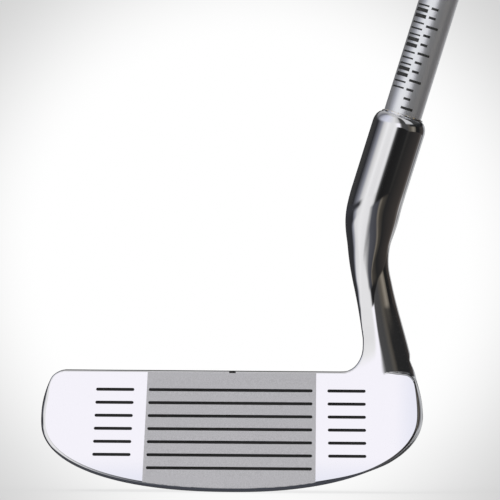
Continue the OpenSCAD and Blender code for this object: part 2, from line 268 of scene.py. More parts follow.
def casting(x, y, z):
    """Blade, neck and hosel in one, before the hosel's top and bore."""
    u, h = neck_frame(x, z)
    h = np.minimum(h, z + 2)
    v = y - neck_front(z)
    plate = blade(x, y, z)
    core = cut(neck_core(u, v, h), NECK_FOOT - z, 2.0)
    core = cut(core, x - NECK_RIGHT - np.maximum(z - 32.5, 0) * 0.5, 0.8)
    back = smooth((y - 8) / 4)
    fillet = mix(FILLET_R, 3.0, back * smooth((x - 33) / 3))
    strip = neck_strip(u, v, h)
    climb = smooth((h - 40) / 28)
    edge = rim_radius(x, z)
    solid = cut(join(plate, core, fillet), strip, mix(edge, neck_half_width(h), climb))
    solid = cut(solid, neck_flank(u, v, h), ridge_radius(h))
    tube = np.hypot(u, v - HOSEL_R) - HOSEL_R
    solid = mix(solid, tube, smooth((h - 60) / 10))
    face = cut(plate, -(y - face_y(z)) * math.cos(LOFT), edge)
    return join(solid, face, mix(0.02, SHOULDER_FILLET, smooth((y - face_y(z) - 0.3) / 2.5)))


def head_field(x, y, z):
    """Distance to the surface of the head, negative inside."""
    radius, s = along_shaft(x, y, z)
    solid = casting(x, y, z)
    solid = cut(solid, (s - (RIM_S - LIP_H)) * SHOULDER_R / SHOULDER_L, SHOULDER_R)
    lip = cut(cut(radius - LIP_R, s - RIM_S, 0.15), RIM_S - 6 - s, 0.1)
    bore = np.maximum(radius - BORE_R, RIM_S - BORE_L - s)
    return np.maximum(np.minimum(solid, lip), -bore)


def head_normal(p, step=0.01):
    """Unit normals of the field at points p, and the field's slope there."""
    g = np.empty_like(p)
    for axis in range(3):
        d = np.zeros(3)
        d[axis] = step
        g[:, axis] = (head_field(*(p + d).T) - head_field(*(p - d).T)) / (2 * step)
    slope = np.linalg.norm(g, axis=1)
    return g / np.maximum(slope, 1e-6)[:, None], slope


# ---------------------------------------------------------------- turning the field into a mesh

CELL = 0.28
CORNERS = [(i, j, k) for i in (0, 1) for j in (0, 1) for k in (0, 1)]


def net_points(grid, cells):
    """The mean of the places where the surface crosses each cell's edges, in cells from its low corner."""
    total, hits = np.zeros((len(cells), 3)), np.zeros(len(cells))
    for a in CORNERS:
        for axis in range(3):
            if a[axis]:
                continue
            b = tuple(1 if i == axis else a[i] for i in range(3))
            va = grid[tuple((cells + a).T)].astype(float)
            vb = grid[tuple((cells + b).T)].astype(float)
            crossed = (va < 0) != (vb < 0)
            point = np.tile(np.array(a, float), (len(cells), 1))
            point[:, axis] = va / np.where(crossed, va - vb, 1)
            total[crossed] += point[crossed]
            hits[crossed] += 1
    return total / hits[:, None]


def net_quads(inside, number):
    """A quad round each grid edge that the surface crosses, facing outwards."""
    quads = []
    for axis in range(3):
        p, q = (axis + 1) % 3, (axis + 2) % 3
        first = inside[tuple(slice(0, -1) if i == axis else slice(1, -1) for i in range(3))]
        second = inside[tuple(slice(1, None) if i == axis else slice(1, -1) for i in range(3))]
        for leaving in (True, False):
            at = np.argwhere((first == leaving) & (second != leaving))
            at[:, p] += 1
            at[:, q] += 1
            square = []
            for dp, dq in ((1, 1), (0, 1), (0, 0), (1, 0)):
                c = at.copy()
                c[:, p] -= dp
                c[:, q] -= dq
                square.append(number[tuple(c.T)])
            quads.append(np.stack(square if leaving else square[::-1], axis=1))
    return np.concatenate(quads)


def surface_net(field, low, high, cell):
    """Vertices and quads of the surface where field is 0, one vertex in each cell that it crosses."""
    size = np.ceil((high - low) / cell).astype(int) + 1
    axes = [low[i] + cell * np.arange(size[i]) for i in range(3)]
    grid = np.empty(size, np.float32)
    for i, x in enumerate(axes[0]):
        grid[i] = field(x, axes[1][:, None], axes[2][None, :])
    inside = grid < 0
    corner = {c: tuple(slice(o, n - 1 + o) for o, n in zip(c, size)) for c in CORNERS}
    count = sum(inside[corner[c]].astype(np.int8) for c in CORNERS)
    cells = np.argwhere((count > 0) & (count < 8))
    number = np.full(size - 1, -1)
    number[tuple(cells.T)] = np.arange(len(cells))
    verts = low + cell * (cells + net_points(grid, cells))
    return verts, net_quads(inside, number)


def settle(verts, quads, rounds=2):
    """Moves the vertices onto the surface, evening out their spacing as they go."""
    edges = np.concatenate([quads[:, [i, (i + 1) % 4]] for i in range(4)])
    degree = np.bincount(edges[:, 0], minlength=len(verts)).astype(float)
    for turn in range(rounds):
        if turn:
            normal = head_normal(verts)[0]
            total = [np.bincount(edges[:, 0], verts[edges[:, 1], i], len(verts)) for i in range(3)]
            shift = np.stack(total, axis=1) / degree[:, None] - verts
            verts = verts + 0.5 * (shift - (shift * normal).sum(1)[:, None] * normal)
        for _ in range(2):
            normal, slope = head_normal(verts)
            step = np.clip(head_field(*verts.T) / np.maximum(slope, 0.3), -CELL / 2, CELL / 2)
            verts = verts - step[:, None] * normal
    verts = snap_rim(verts)
    return verts, head_normal(verts)[0]


def snap_rim(verts):
    """Lines up the vertices nearest the seam between the flat face and its rounded rim."""
    x, y, z = verts.T
    near = (np.abs(y - face_y(z)) < 0.06) & (z < 27)
    for _ in range(2):
        x, y, z = verts[near].T
        off = blade(x, y, z) + rim_radius(x, z)
        dx = (blade(x + 0.01, y, z) - blade(x - 0.01, y, z)) / 0.02
        dz = (blade(x, y, z + 0.01) - blade(x, y, z - 0.01)) / 0.02
        step = np.where(np.abs(off) < 0.55 * CELL, off / np.maximum(dx * dx + dz * dz, 0.2), 0)
        verts[near] -= np.stack([step * dx, 0 * step, step * dz], axis=1)
        verts[near, 1] = np.where(step != 0, face_y(verts[near, 2]), verts[near, 1])
    return verts


# ---------------------------------------------------------------- pieces

FACE_NORMAL = np.array([0.0, -math.cos(LOFT), math.sin(LOFT)])
# Flat of the face that is meshed anew round the grooves: half width, low z and high z.
# Beyond the half width WINDOW_STEP[0] it starts higher up, at WINDOW_STEP[1].
WINDOW = (34.8, 5.1, 28.2)
WINDOW_STEP = (23.0, 7.4)
# Depth and half width of a groove
GROOVE_DEPTH, GROOVE_HALF = 0.5, 0.375
# Points round each end of a groove
END_STEPS = 7


def add_piece(name, verts, faces, material, slot, nodes=(), normals=None, crease=None, rims=()):
    """Makes a mesh piece from points in mm. normals are one per face corner, and rims are sharp edges."""
    mesh = bpy.data.meshes.new(name)
    mesh.from_pydata((np.asarray(verts) * MM).tolist(), [], [list(map(int, f)) for f in faces])
    mesh.shade_smooth()
    mesh.materials.append(material)
    if normals is not None:
        number = {edge.vertices[:]: edge.index for edge in mesh.edges}
        sharp = mesh.attributes.new("sharp_edge", "BOOLEAN", "EDGE")
        for a, b in rims:
            sharp.data[number[(min(a, b), max(a, b))]].value = True
        mesh.normals_split_custom_set(normals.tolist())
    elif crease is not None:
        mesh.set_sharp_from_angle(angle=math.radians(crease))
    piece = bpy.data.objects.new(name, mesh)
    bpy.context.scene.collection.objects.link(piece)
    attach(piece, "root")
    if nodes:
        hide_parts(*nodes)
    return piece


def node_points(name):
    """Vertices of a CAD node, in mm."""
    mesh = frame["nodes"][name].data
    flat = np.empty(len(mesh.vertices) * 3, np.float32)
    mesh.vertices.foreach_get("co", flat)
    return flat.reshape(-1, 3).astype(float) / MM


def groove_boxes(name):
    """Low x, high x, low z and high z of each groove's opening in the face."""
    points = node_points(name)
    points = points[points[:, 1] < face_y(points[:, 2]) + 0.05]
    points = points[np.argsort(points[:, 2])]
    rows = np.split(points, np.nonzero(np.diff(points[:, 2]) > 1.5)[0] + 1)
    return [(r[:, 0].min(), r[:, 0].max(), r[:, 2].min(), r[:, 2].max()) for r in rows]


def slot_outline(box, inset=0.0):
    """Outline of a groove with round ends, as (x, z), anticlockwise seen from the front."""
    x0, x1, z0, z1 = box
    r = (z1 - z0) / 2
    mid = (z0 + z1) / 2
    turns = np.linspace(-math.pi / 2, math.pi / 2, END_STEPS)
    right = [(x1 - r + (r - inset) * math.cos(a), mid + (r - inset) * math.sin(a)) for a in turns]
    left = [(x0 + r - (r - inset) * math.cos(a), mid - (r - inset) * math.sin(a)) for a in turns]
    return np.array(right + left)


def on_face(outline, depth=0.0):
    """Places (x, z) points in the plane of the face, or depth behind it."""
    points = np.stack([outline[:, 0], face_y(outline[:, 1]), outline[:, 1]], axis=1)
    return points - depth * FACE_NORMAL


def window_loop(quads):
    """The border of a patch of quads as one chain of vertices."""
    edges = {(q[i], q[(i + 1) % 4]) for q in quads.tolist() for i in range(4)}
    after = {a: b for a, b in edges if (b, a) not in edges}
    loop = [min(after)]
    while after[loop[-1]] != loop[0]:
        loop.append(after[loop[-1]])
    return loop


def split_quads(quads, normals):
    """Two triangles for each quad, cut along the diagonal whose ends face most nearly the same way."""
    ends = normals[quads]
    first = (ends[:, 0] * ends[:, 2]).sum(1) >= (ends[:, 1] * ends[:, 3]).sum(1)
    turned = np.where(first[:, None], quads, np.roll(quads, -1, axis=1))
    return np.concatenate([turned[:, [0, 1, 2]], turned[:, [0, 2, 3]]])


def in_window(centre):
    """Whether each quad lies in the flat of the face that is meshed anew."""
    half_x, low_z, high_z = WINDOW
    flat = (np.abs(centre[:, 0]) < half_x) & (centre[:, 2] > low_z) & (centre[:, 2] < high_z)
    flat &= (np.abs(centre[:, 0]) < WINDOW_STEP[0]) | (centre[:, 2] > WINDOW_STEP[1])
    return flat & (centre[:, 1] < face_y(centre[:, 2]) + CELL / 2)


def fill_window(verts, loop, outlines):
    """Triangles between the window's border and the grooves' outlines, and each outline's vertex numbers."""
    points = [Vector(verts[i, [0, 2]]) for i in loop]
    polygons = [list(range(len(loop)))]
    for outline in outlines:
        polygons.append(list(range(len(points), len(points) + len(outline))))
        points.extend(Vector(p) for p in outline)
    made = delaunay_2d_cdt(points, [], polygons, 1, 1e-5)
    base = len(verts)
    number = {}
    for out, sources in enumerate(made[3]):
        for source in sources:
            number[out] = loop[source] if source < len(loop) else base + source - len(loop)
    triangles = []
    for face, sources in zip(made[2], made[5]):
        if all(source == 0 for source in sources):
            triangles.append([number[i] for i in face])
    mouths = [[base + i - len(loop) for i in polygon] for polygon in polygons[1:]]
    return triangles, mouths


def groove_walls(outline):
    """Normals of a groove's walls, one at each point of its outline, facing into it."""
    x = outline[:, 0]
    ends = np.clip(x, x.min() + GROOVE_HALF, x.max() - GROOVE_HALF)
    into = np.stack([ends - x, 0 * ends, outline.mean(0)[1] - outline[:, 1]], axis=1)
    return into / np.linalg.norm(into, axis=1)[:, None]


def groove_pocket(mouth, floor, outline):
    """Walls and floor of a groove: faces, corner normals and sharp rims."""
    n = len(mouth)
    faces, corner, rims = [], [], []
    into = groove_walls(outline)
    for i in range(n):
        j = (i + 1) % n
        faces.append([mouth[i], floor[i], floor[j], mouth[j]])
        corner.append(into[[i, i, j, j]])
        rims += [(mouth[i], mouth[j]), (floor[i], floor[j])]
    faces.append(floor)
    corner.append(np.tile(FACE_NORMAL, (n, 1)))
    return faces, corner, rims


def head_mesh(grooves):
    """The head with the grooves let into the flat of the face: verts, faces, corner normals, sharp rims."""
    start, quads = surface_net(head_field, HEAD_LOW - 1.5, HEAD_HIGH + 1.5, CELL)
    flat = in_window(start[quads].mean(1))
    verts, normals = settle(start, quads)
    outlines = [slot_outline(box) for box in grooves]
    triangles, mouths = fill_window(verts, window_loop(quads[flat]), outlines)
    outer = split_quads(quads[~flat], normals)
    faces = outer.tolist() + triangles
    corner = [normals[outer].reshape(-1, 3), np.tile(FACE_NORMAL, (3 * len(triangles), 1))]
    points = [verts] + [on_face(outline) for outline in outlines]
    rims = []
    for mouth, outline in zip(mouths, outlines):
        base = sum(map(len, points))
        floor = [base + i for i in range(len(mouth))]
        points.append(on_face(outline, GROOVE_DEPTH))
        pocket = groove_pocket(mouth, floor, outline)
        faces += pocket[0]
        corner += pocket[1]
        rims += pocket[2]
    return np.concatenate(points), faces, np.concatenate(corner), rims


# Rings of the paint's skin as (distance in from the groove's wall, depth), bottom first
PAINT_GAP = 0.006
PAINT_RINGS = ((PAINT_GAP, 0.48), (PAINT_GAP, 0.05), (0.07, 0.11), (0.17, 0.15), (0.28, 0.165))


def paint_mesh(grooves):
    """Paint in each groove: it clings to the walls and dips a little in the middle."""
    verts, faces = [], []
    for box in grooves:
        base = sum(map(len, verts))
        n = 2 * END_STEPS
        verts.extend(on_face(slot_outline(box, inset), depth) for inset, depth in PAINT_RINGS)
        for k in range(len(PAINT_RINGS) - 1):
            low, high = base + k * n, base + (k + 1) * n
            faces.extend([low + i, low + (i + 1) % n, high + (i + 1) % n, high + i] for i in range(n))
        faces.append([base + i for i in range(n - 1, -1, -1)])
        faces.append([base + (len(PAINT_RINGS) - 1) * n + i for i in range(n)])
    return np.concatenate(verts), faces


def grid_faces(rows, columns, offset=0, flip=False):
    """Quads of a grid of points stored row by row."""
    faces = []
    for r in range(rows - 1):
        for c in range(columns - 1):
            low = offset + r * columns + c
            quad = [low, low + 1, low + columns + 1, low + columns]
            faces.append(quad[::-1] if flip else quad)
    return faces


def sight_points(front_rows, rows, columns):
    """A grid of points on the head, from just below its top line to the back of the CAD mark."""
    z = np.linspace(TOP_H - 0.4, TOP_H, front_rows)
    y = np.linspace(face_y(TOP_H) + 0.1, NOTCH_HIGH[1], rows - front_rows)
    path = list(zip(face_y(z), z)) + [(back, TOP_H) for back in y]
    across = np.linspace(-NOTCH_HIGH[0], NOTCH_HIGH[0], columns)
    points = np.array([[x, y, z] for y, z in path for x in across])
    for _ in range(12):
        normal, slope = head_normal(points)
        points = points - (head_field(*points.T) / np.maximum(slope, 0.3))[:, None] * normal
    return points


def sight_mesh():
    """A film of paint that runs over the top edge of the blade."""
    rows, columns, thick = 26, 9, 0.04
    points = sight_points(9, rows, columns)
    normal = head_normal(points)[0]
    verts = np.concatenate([points + thick * normal, points - thick * normal])
    n = rows * columns
    faces = grid_faces(rows, columns) + grid_faces(rows, columns, offset=n, flip=True)
    border = list(range(columns)) + [r * columns + columns - 1 for r in range(1, rows)]
    border += [(rows - 1) * columns + c for c in range(columns - 2, -1, -1)]
    border += [r * columns for r in range(rows - 2, 0, -1)]
    for a, b in zip(border, border[1:] + border[:1]):
        faces.append([b, a, a + n, b + n])
    return verts, faces


ACROSS = np.array([math.cos(LEAN), 0.0, -math.sin(LEAN)])
SIDEWAYS = np.array([0.0, 1.0, 0.0])


def shaft_point(s, across, sideways):
    """Points s along the shaft's axis from the ground, off it towards the heel and the back."""
    s, across, sideways = np.broadcast_arrays(s, across, sideways)
    return AXIS_FOOT + s[..., None] * AXIS + across[..., None] * ACROSS + sideways[..., None] * SIDEWAYS


def ring(s, radius, count):
    """A circle of points round the shaft's axis."""
    turn = np.linspace(0, 2 * math.pi, count, endpoint=False)
    return shaft_point(s, radius * np.cos(turn), radius * np.sin(turn))


def shaft_profile():
    """Outside of the CAD shaft as (distance along the axis, radius), lower end first."""
    points = node_points("shaft") - AXIS_FOOT
    s = points @ AXIS
    r = np.linalg.norm(points - s[:, None] * AXIS, axis=1)
    stations = {}
    for key, radius in zip(np.round(s, 2), r):
        stations[key] = max(stations.get(key, 0), radius)
    return sorted(stations.items())


WALL = 0.6
AROUND = 128
STEP_PARTS = 6


def shaft_mesh():
    """Stepped steel tube, closed at both ends by its wall."""
    stations = shaft_profile()
    outside = []
    for (s0, r0), (s1, r1) in zip(stations, stations[1:]):
        stepped = abs(r1 - r0) > 0.05
        parts = STEP_PARTS if stepped else max(1, round((s1 - s0) / 40))
        for k in range(parts):
            t = k / parts
            outside.append((mix(s0, s1, t), mix(r0, r1, smooth(t) if stepped else t)))
    outside.append(stations[-1])
    inside = [(s, r - WALL) for s, r in outside[::-1]]
    return closed_rings([ring(s, r, AROUND) for s, r in outside + inside])


def closed_rings(rings):
    """A skin over rings of points that starts and ends on the same ring."""
    n, m = len(rings[0]), len(rings)
    faces = []
    for k in range(m):
        a, b = k * n, (k + 1) % m * n
        faces.extend([a + i, a + (i + 1) % n, b + (i + 1) % n, b + i] for i in range(n))
    return np.concatenate(rings), faces


# ---------------------------------------------------------------- grip, in mm

GRIP_PARTS = 300
GRIP_AROUND = 160
# Width of the grip at its mouth and butt, and the radius of the shaft's butt
MOUTH_D = 18.6
BUTT_W = 26.0
BUTT_R = 7.35
# How far the grip draws in at its two ends
MOUTH_ROUND, BUTT_ROUND = 1.1, 0.7
# Pistol swell at the back: height, and middle and half length as parts of the grip's length
PISTOL = 5.0
SWELL_AT = 0.78
SWELL_SPAN = 0.42
# How square the flat front is
FLAT_P = 5
TAPE_T = 0.2
CAP_INSET = 0.8
CAP_T = 4.0
CAP_EDGE_R = 1.5
VENT_R = 1.6


def bulge(c, p):
    """Cosine or sine c drawn out towards the corners of a superellipse of power p."""
    return np.sign(c) * np.abs(c) ** (2 / p)


def grip_outline(t, turn, grow=0.0):
    """Offsets from the axis of the grip's outside at the part t of its length: flat towards the toe."""
    c, s = np.cos(turn), np.sin(turn)
    swell = smooth(1 - abs(t - SWELL_AT) / SWELL_SPAN)
    width = mix(MOUTH_D, BUTT_W, smooth(t * 1.2)) / 2 + grow
    front = mix(MOUTH_D / 2, BUTT_R + 2.4, smooth(t * 2)) + grow
    back = mix(MOUTH_D, BUTT_W, t) / 2 + PISTOL * swell + grow
    p = mix(2, FLAT_P, smooth(t * 2))
    side = mix(2, 2.3, smooth(t * 2))
    across = np.where(c < 0, front * bulge(c, p), back * c)
    sideways = width * np.where(c < 0, bulge(s, side), s)
    return across, sideways


def trench(distance, width):
    """1 in the middle of a moulded groove, 0 outside it."""
    return smooth(1.4 - 1.4 * np.abs(distance) / (width / 2))


def grip_relief(s, length, across, sideways):
    """Depth of the moulded pattern at one station of the grip."""
    flat = smooth((-across - 5) / 1.5)
    panel = smooth((s - 38) / 3) * smooth((length - 16 - s) / 3)
    border = trench(np.abs(sideways) - 6.6, 1.3) * flat * panel
    within = smooth((6.1 - np.abs(sideways)) / 0.5)
    ribs = trench((s + 0.45 * np.abs(sideways)) % 5.2 - 2.6, 1.7) * within * flat * panel
    back = smooth((across + 1) / 3)
    channels = 0
    for k in range(-2, 3):
        channels = channels + trench(sideways - 3.6 * k, 1.2)
    channels = np.minimum(channels, 1) * back * smooth((s - 60) / 6) * smooth((length - 40 - s) / 6)
    bands = sum(trench(s - at, 1.8) for at in (9, 13, length - 7))
    return 0.4 * border + 0.3 * ribs + 0.3 * channels + 0.45 * bands


def grip_mesh(low, high):
    """Rubber grip from its mouth to its butt, rounded at both, with a hole for the shaft and its tape."""
    turn = np.linspace(0, 2 * math.pi, GRIP_AROUND, endpoint=False)
    length = high - low
    rings = []
    for k in range(GRIP_PARTS + 1):
        s = length * k / GRIP_PARTS
        across, sideways = grip_outline(s / length, turn)
        depth = grip_relief(s, length, across, sideways)
        depth = depth + MOUTH_ROUND * (1 - min(1, s / 1.5)) ** 2
        depth = depth + BUTT_ROUND * (1 - min(1, (length - s) / 0.9)) ** 2
        shrink = 1 - depth / np.maximum(np.hypot(across, sideways), 1)
        rings.append(shaft_point(low + s, across * shrink, sideways * shrink))
    hole = BUTT_R + TAPE_T
    rings.extend(ring(s, hole, GRIP_AROUND) for s in (high, low))
    return closed_rings(rings)


def cap_mesh(low, high):
    """Butt cap: a rounded plate in the grip's outline, a spigot in the tube, and the vent hole in both."""
    turn = np.linspace(0, 2 * math.pi, GRIP_AROUND, endpoint=False)
    spigot = BUTT_R - WALL - 0.1
    base = high - CAP_T
    inner = ((low, VENT_R), (low, spigot - 0.4), (low + 0.5, spigot), (base, spigot))
    plate = [(base, 0.0), (high - CAP_EDGE_R, 0.0)]
    for k in range(1, 7):
        a = math.pi / 12 * k
        plate.append((high - CAP_EDGE_R * (1 - math.sin(a)), CAP_EDGE_R * (1 - math.cos(a))))
    plate += [(high, 3.2), (high - 0.35, 3.5), (high - 0.45, 5.5), (high - 0.1, 5.8)]
    vent = ((high, 3.6), (high, VENT_R + 0.5), (high - 0.5, VENT_R))
    rings = [ring(s, r, GRIP_AROUND) for s, r in inner]
    rings += [shaft_point(s, *grip_outline(1, turn, -CAP_INSET - inset)) for s, inset in plate]
    rings += [ring(s, r, GRIP_AROUND) for s, r in vent]
    return closed_rings(rings)


# ---------------------------------------------------------------- materials


def feed(tree, node, **inputs):
    """Sets or links a node's inputs, named as in Blender with _ for spaces, or i0, i1 ... by place."""
    for key, value in inputs.items():
        at = int(key[1:]) if key[0] == "i" and key[1:].isdigit() else key.replace("_", " ")
        socket = node.inputs[at]
        if isinstance(value, bpy.types.NodeSocket):
            tree.links.new(value, socket)
        else:
            socket.default_value = value


def add_node(tree, kind, settings=None, **inputs):
    """Adds a shader node with its settings and inputs."""
    made = tree.nodes.new("ShaderNode" + kind)
    for key, value in (settings or {}).items():
        setattr(made, key, value)
    feed(tree, made, **inputs)
    return made


def calc(tree, operation, *values):
    """Output of a math node."""
    inputs = {f"i{k}": value for k, value in enumerate(values)}
    return add_node(tree, "Math", {"operation": operation}, **inputs).outputs[0]


def ramp(tree, value, low, high, start=0.0, end=1.0):
    """Output of a smooth step from start, at low, to end, at high."""
    settings = {"interpolation_type": "SMOOTHSTEP"}
    made = add_node(tree, "MapRange", settings, i0=value, i1=low, i2=high, i3=start, i4=end)
    return made.outputs[0]


def blend(tree, factor, a, b):
    """Colour a where factor is 0 and b where it is 1."""
    return add_node(tree, "Mix", {"data_type": "RGBA"}, i0=factor, i6=a, i7=b).outputs[2]


def grey(value, tint=(1.0, 1.0, 1.0)):
    """An opaque colour: a grey level times a tint."""
    return tuple(value * t for t in tint) + (1.0,)


def place(tree):
    """Object position in mm, and its x, y and z."""
    where = add_node(tree, "TexCoord").outputs["Object"]
    scaled = add_node(tree, "VectorMath", {"operation": "SCALE"}, Vector=where, Scale=1 / MM).outputs[0]
    return scaled, add_node(tree, "SeparateXYZ", Vector=scaled).outputs


def noise(tree, where, scale, detail=3.0, roughness=0.5, stretch=None):
    """Noise with about `scale` bumps per mm."""
    if stretch:
        where = add_node(tree, "Mapping", Vector=where, Scale=stretch).outputs[0]
    made = add_node(tree, "TexNoise", Vector=where, Scale=scale, Detail=detail, Roughness=roughness)
    return made.outputs["Fac"]


def bump(tree, height, distance, strength=1.0):
    """Normal output of a bump of `distance` mm."""
    made = add_node(tree, "Bump", Height=height, Distance=distance * MM, Strength=strength)
    return made.outputs["Normal"]


def new_material(name, metallic=0.0):
    """A material with its node tree and shader node."""
    material = bpy.data.materials.new(name)
    material.use_nodes = True
    tree = material.node_tree
    shader = tree.nodes["Principled BSDF"]
    shader.inputs["Metallic"].default_value = metallic
    return material, tree, shader


# Toe side of the blasted panel at the top line and at the ground, and its heel side
PANEL_TOP_X, PANEL_FOOT_X, PANEL_HEEL_X = -20.75, -22.0, 20.55
PANEL_BLUR = 0.06


def face_panel(tree, x, y, z):
    """1 on the bead-blasted panel, 0 elsewhere."""
    lean = calc(tree, "MULTIPLY_ADD", z, (PANEL_TOP_X - PANEL_FOOT_X) / TOP_H, PANEL_FOOT_X)
    left = ramp(tree, calc(tree, "SUBTRACT", x, lean), -PANEL_BLUR, PANEL_BLUR)
    right = ramp(tree, x, PANEL_HEEL_X - PANEL_BLUR, PANEL_HEEL_X + PANEL_BLUR, 1.0, 0.0)
    depth = calc(tree, "SUBTRACT", y, calc(tree, "MULTIPLY", z, math.tan(LOFT)))
    front = ramp(tree, depth, 0.015, 0.05, 1.0, 0.0)
    return calc(tree, "MULTIPLY", calc(tree, "MULTIPLY", left, right), front)


def head_steel():
    """Mirror-polished steel, a bead-blasted panel across the middle of the face, and painted shade towards
    sole and heel.
    """
    material, tree, shader = new_material("head_steel", metallic=1.0)
    where, (x, y, z) = place(tree)
    panel = face_panel(tree, x, y, z)
    grain = noise(tree, where, 5.0, 2.0)
    blotch = noise(tree, where, 0.09, 2.0)
    mirror_rough = calc(tree, "MULTIPLY_ADD", blotch, 0.05, 0.015)
    blasted_rough = calc(tree, "MULTIPLY_ADD", blotch, 0.08, 0.36)
    rough = ramp(tree, panel, 0.0, 1.0, mirror_rough, blasted_rough)
    tint = (0.99, 0.98, 1.02)
    speckle = blend(tree, ramp(tree, grain, 0.35, 0.65), grey(0.52, tint), grey(0.62, tint))
    # Painted shade: the base colour greys and turns bluish towards the sole (z below 9 mm) and the heel edge
    # (x past 39 mm), in place of the reflection there.
    rim = calc(tree, "MAXIMUM", ramp(tree, z, 9.0, 2.0), ramp(tree, x, 39.0, 45.5))
    polish_and_painted_shade = blend(tree, rim, grey(0.95, (0.985, 0.98, 1.0)), grey(0.86, (0.96, 0.98, 1.04)))
    colour = blend(tree, panel, polish_and_painted_shade, speckle)
    pits = bump(tree, grain, 0.02, calc(tree, "MULTIPLY", panel, 0.6))
    dull = calc(tree, "MULTIPLY_ADD", panel, -0.5, 1.0)
    feed(tree, shader, Base_Color=colour, Roughness=rough, Normal=pits, Metallic=dull)
    return material


def enamel(name):
    """Black enamel baked into a recess."""
    material, tree, shader = new_material(name)
    where, _ = place(tree)
    cloud = noise(tree, where, 0.8)
    colour = blend(tree, cloud, grey(0.006), grey(0.0132))
    rough = calc(tree, "MULTIPLY_ADD", cloud, 0.2, 0.35)
    grain = bump(tree, noise(tree, where, 3.0), 0.01)
    feed(tree, shader, Base_Color=colour, Roughness=rough, Normal=grain, Specular_IOR_Level=0.3)
    return material


def shaft_chrome():
    """Satin chrome plate with fine marks round the tube."""
    material, tree, shader = new_material("shaft_chrome", metallic=0.88)
    where, _ = place(tree)
    marks = noise(tree, where, 1.0, 3.0, 0.6, (2.5, 2.5, 14.0))
    cloud = noise(tree, where, 0.05)
    rough = calc(tree, "MULTIPLY_ADD", cloud, 0.06, 0.26)
    rough = calc(tree, "MULTIPLY_ADD", marks, 0.06, rough)
    tint = (0.97, 0.985, 1.03)
    colour = blend(tree, cloud, grey(0.9, tint), grey(0.95, tint))
    feed(tree, shader, Base_Color=colour, Roughness=rough, Normal=bump(tree, marks, 0.003, 0.3))
    return material


def print_ink():
    """Screen-printed ink, slightly uneven."""
    material, tree, shader = new_material("print_ink")
    where, _ = place(tree)
    wear = noise(tree, where, 2.2)
    colour = blend(tree, ramp(tree, wear, 0.35, 0.75), grey(0.012), grey(0.035))
    feed(tree, shader, Base_Color=colour, Roughness=0.5, Normal=bump(tree, wear, 0.01))
    return material


def grip_rubber():
    """Black moulded rubber: fine grain, dusty highlights where hands rub it."""
    material, tree, shader = new_material("grip_rubber")
    where, _ = place(tree)
    grain = noise(tree, where, 2.6, 4.0, 0.65)
    dust = noise(tree, where, 0.06, 4.0)
    colour = blend(tree, ramp(tree, dust, 0.35, 0.7), grey(0.018), grey(0.032, (1.0, 0.98, 0.95)))
    rough = calc(tree, "MULTIPLY_ADD", dust, 0.2, 0.55)
    feed(tree, shader, Base_Color=colour, Roughness=rough, Normal=bump(tree, grain, 0.06, 0.7))
    return material


def cap_plastic():
    """Black moulded plastic with a light spark-eroded texture."""
    material, tree, shader = new_material("cap_plastic")
    where, _ = place(tree)
    grain = noise(tree, where, 4.0, 2.0)
    colour = blend(tree, noise(tree, where, 0.3), grey(0.014), grey(0.022))
    rough = calc(tree, "MULTIPLY_ADD", grain, 0.12, 0.38)
    feed(tree, shader, Base_Color=colour, Roughness=rough, Normal=bump(tree, grain, 0.02, 0.6))
    return material


def epoxy():
    """Cured amber epoxy with a few bubbles."""
    material, tree, shader = new_material("epoxy")
    where, _ = place(tree)
    bubbles = add_node(tree, "TexVoronoi", Vector=where, Scale=2.0).outputs["Distance"]
    thick = ramp(tree, bubbles, 0.05, 0.3)
    colour = blend(tree, thick, grey(0.75, (1.0, 0.9, 0.6)), grey(0.55, (1.0, 0.8, 0.45)))
    feed(tree, shader, Base_Color=colour, Roughness=0.25, Normal=bump(tree, bubbles, 0.02))
    return material


def plug_fibre():
    """Pressed fibre plug."""
    material, tree, shader = new_material("plug_fibre")
    where, _ = place(tree)
    strands = noise(tree, where, 3.0, 4.0, 0.7, (1.0, 1.0, 0.2))
    colour = blend(tree, strands, grey(0.35, (1.0, 0.8, 0.55)), grey(0.6, (1.0, 0.85, 0.65)))
    feed(tree, shader, Base_Color=colour, Roughness=0.85, Normal=bump(tree, strands, 0.05))
    return material


def masking_tape():
    """Creped paper tape."""
    material, tree, shader = new_material("masking_tape")
    where, _ = place(tree)
    crepe = noise(tree, where, 1.2, 3.0, 0.5, (0.6, 0.6, 4.0))
    colour = blend(tree, crepe, grey(0.62, (1.0, 0.93, 0.78)), grey(0.8, (1.0, 0.95, 0.82)))
    feed(tree, shader, Base_Color=colour, Roughness=0.9, Normal=bump(tree, crepe, 0.05))
    return material


# ---------------------------------------------------------------- building the pieces


def paint_cad(name, material):
    """Gives a CAD node that stays in view its material."""
    mesh = frame["nodes"][name].data
    mesh.materials.clear()
    mesh.materials.append(material)


def axis_span(name):
    """Lowest and highest distance along the shaft's axis of a CAD node."""
    s = (node_points(name) - AXIS_FOOT) @ AXIS
    return s.min(), s.max()


def build_head():
    """The casting, the paint in its grooves and its sight mark."""
    rows = {part: groove_boxes(part + "_groove_paint") for part in ("centre", "toe", "heel")}
    verts, faces, corner, rims = head_mesh([box for boxes in rows.values() for box in boxes])
    add_piece("head", verts, faces, head_steel(), "head_steel", ["club_head"], corner, rims=rims)
    black = enamel("groove_enamel")
    for part, boxes in rows.items():
        nodes = [part + "_groove_paint"]
        add_piece(part + "_groove_enamel", *paint_mesh(boxes), black, "groove_paint", nodes, crease=40)
    black = enamel("sight_enamel")
    add_piece("sight_mark", *sight_mesh(), black, "groove_paint", ["sight_notch_paint"], crease=40)


def build_shaft():
    """The tube, and the CAD nodes on it and in it."""
    add_piece("shaft_tube", *shaft_mesh(), shaft_chrome(), "shaft_chrome", ["shaft"], crease=35)
    paint_cad("shaft_print", print_ink())
    paint_cad("epoxy_bond", epoxy())
    paint_cad("tip_plug", plug_fibre())
    paint_cad("grip_tape", masking_tape())


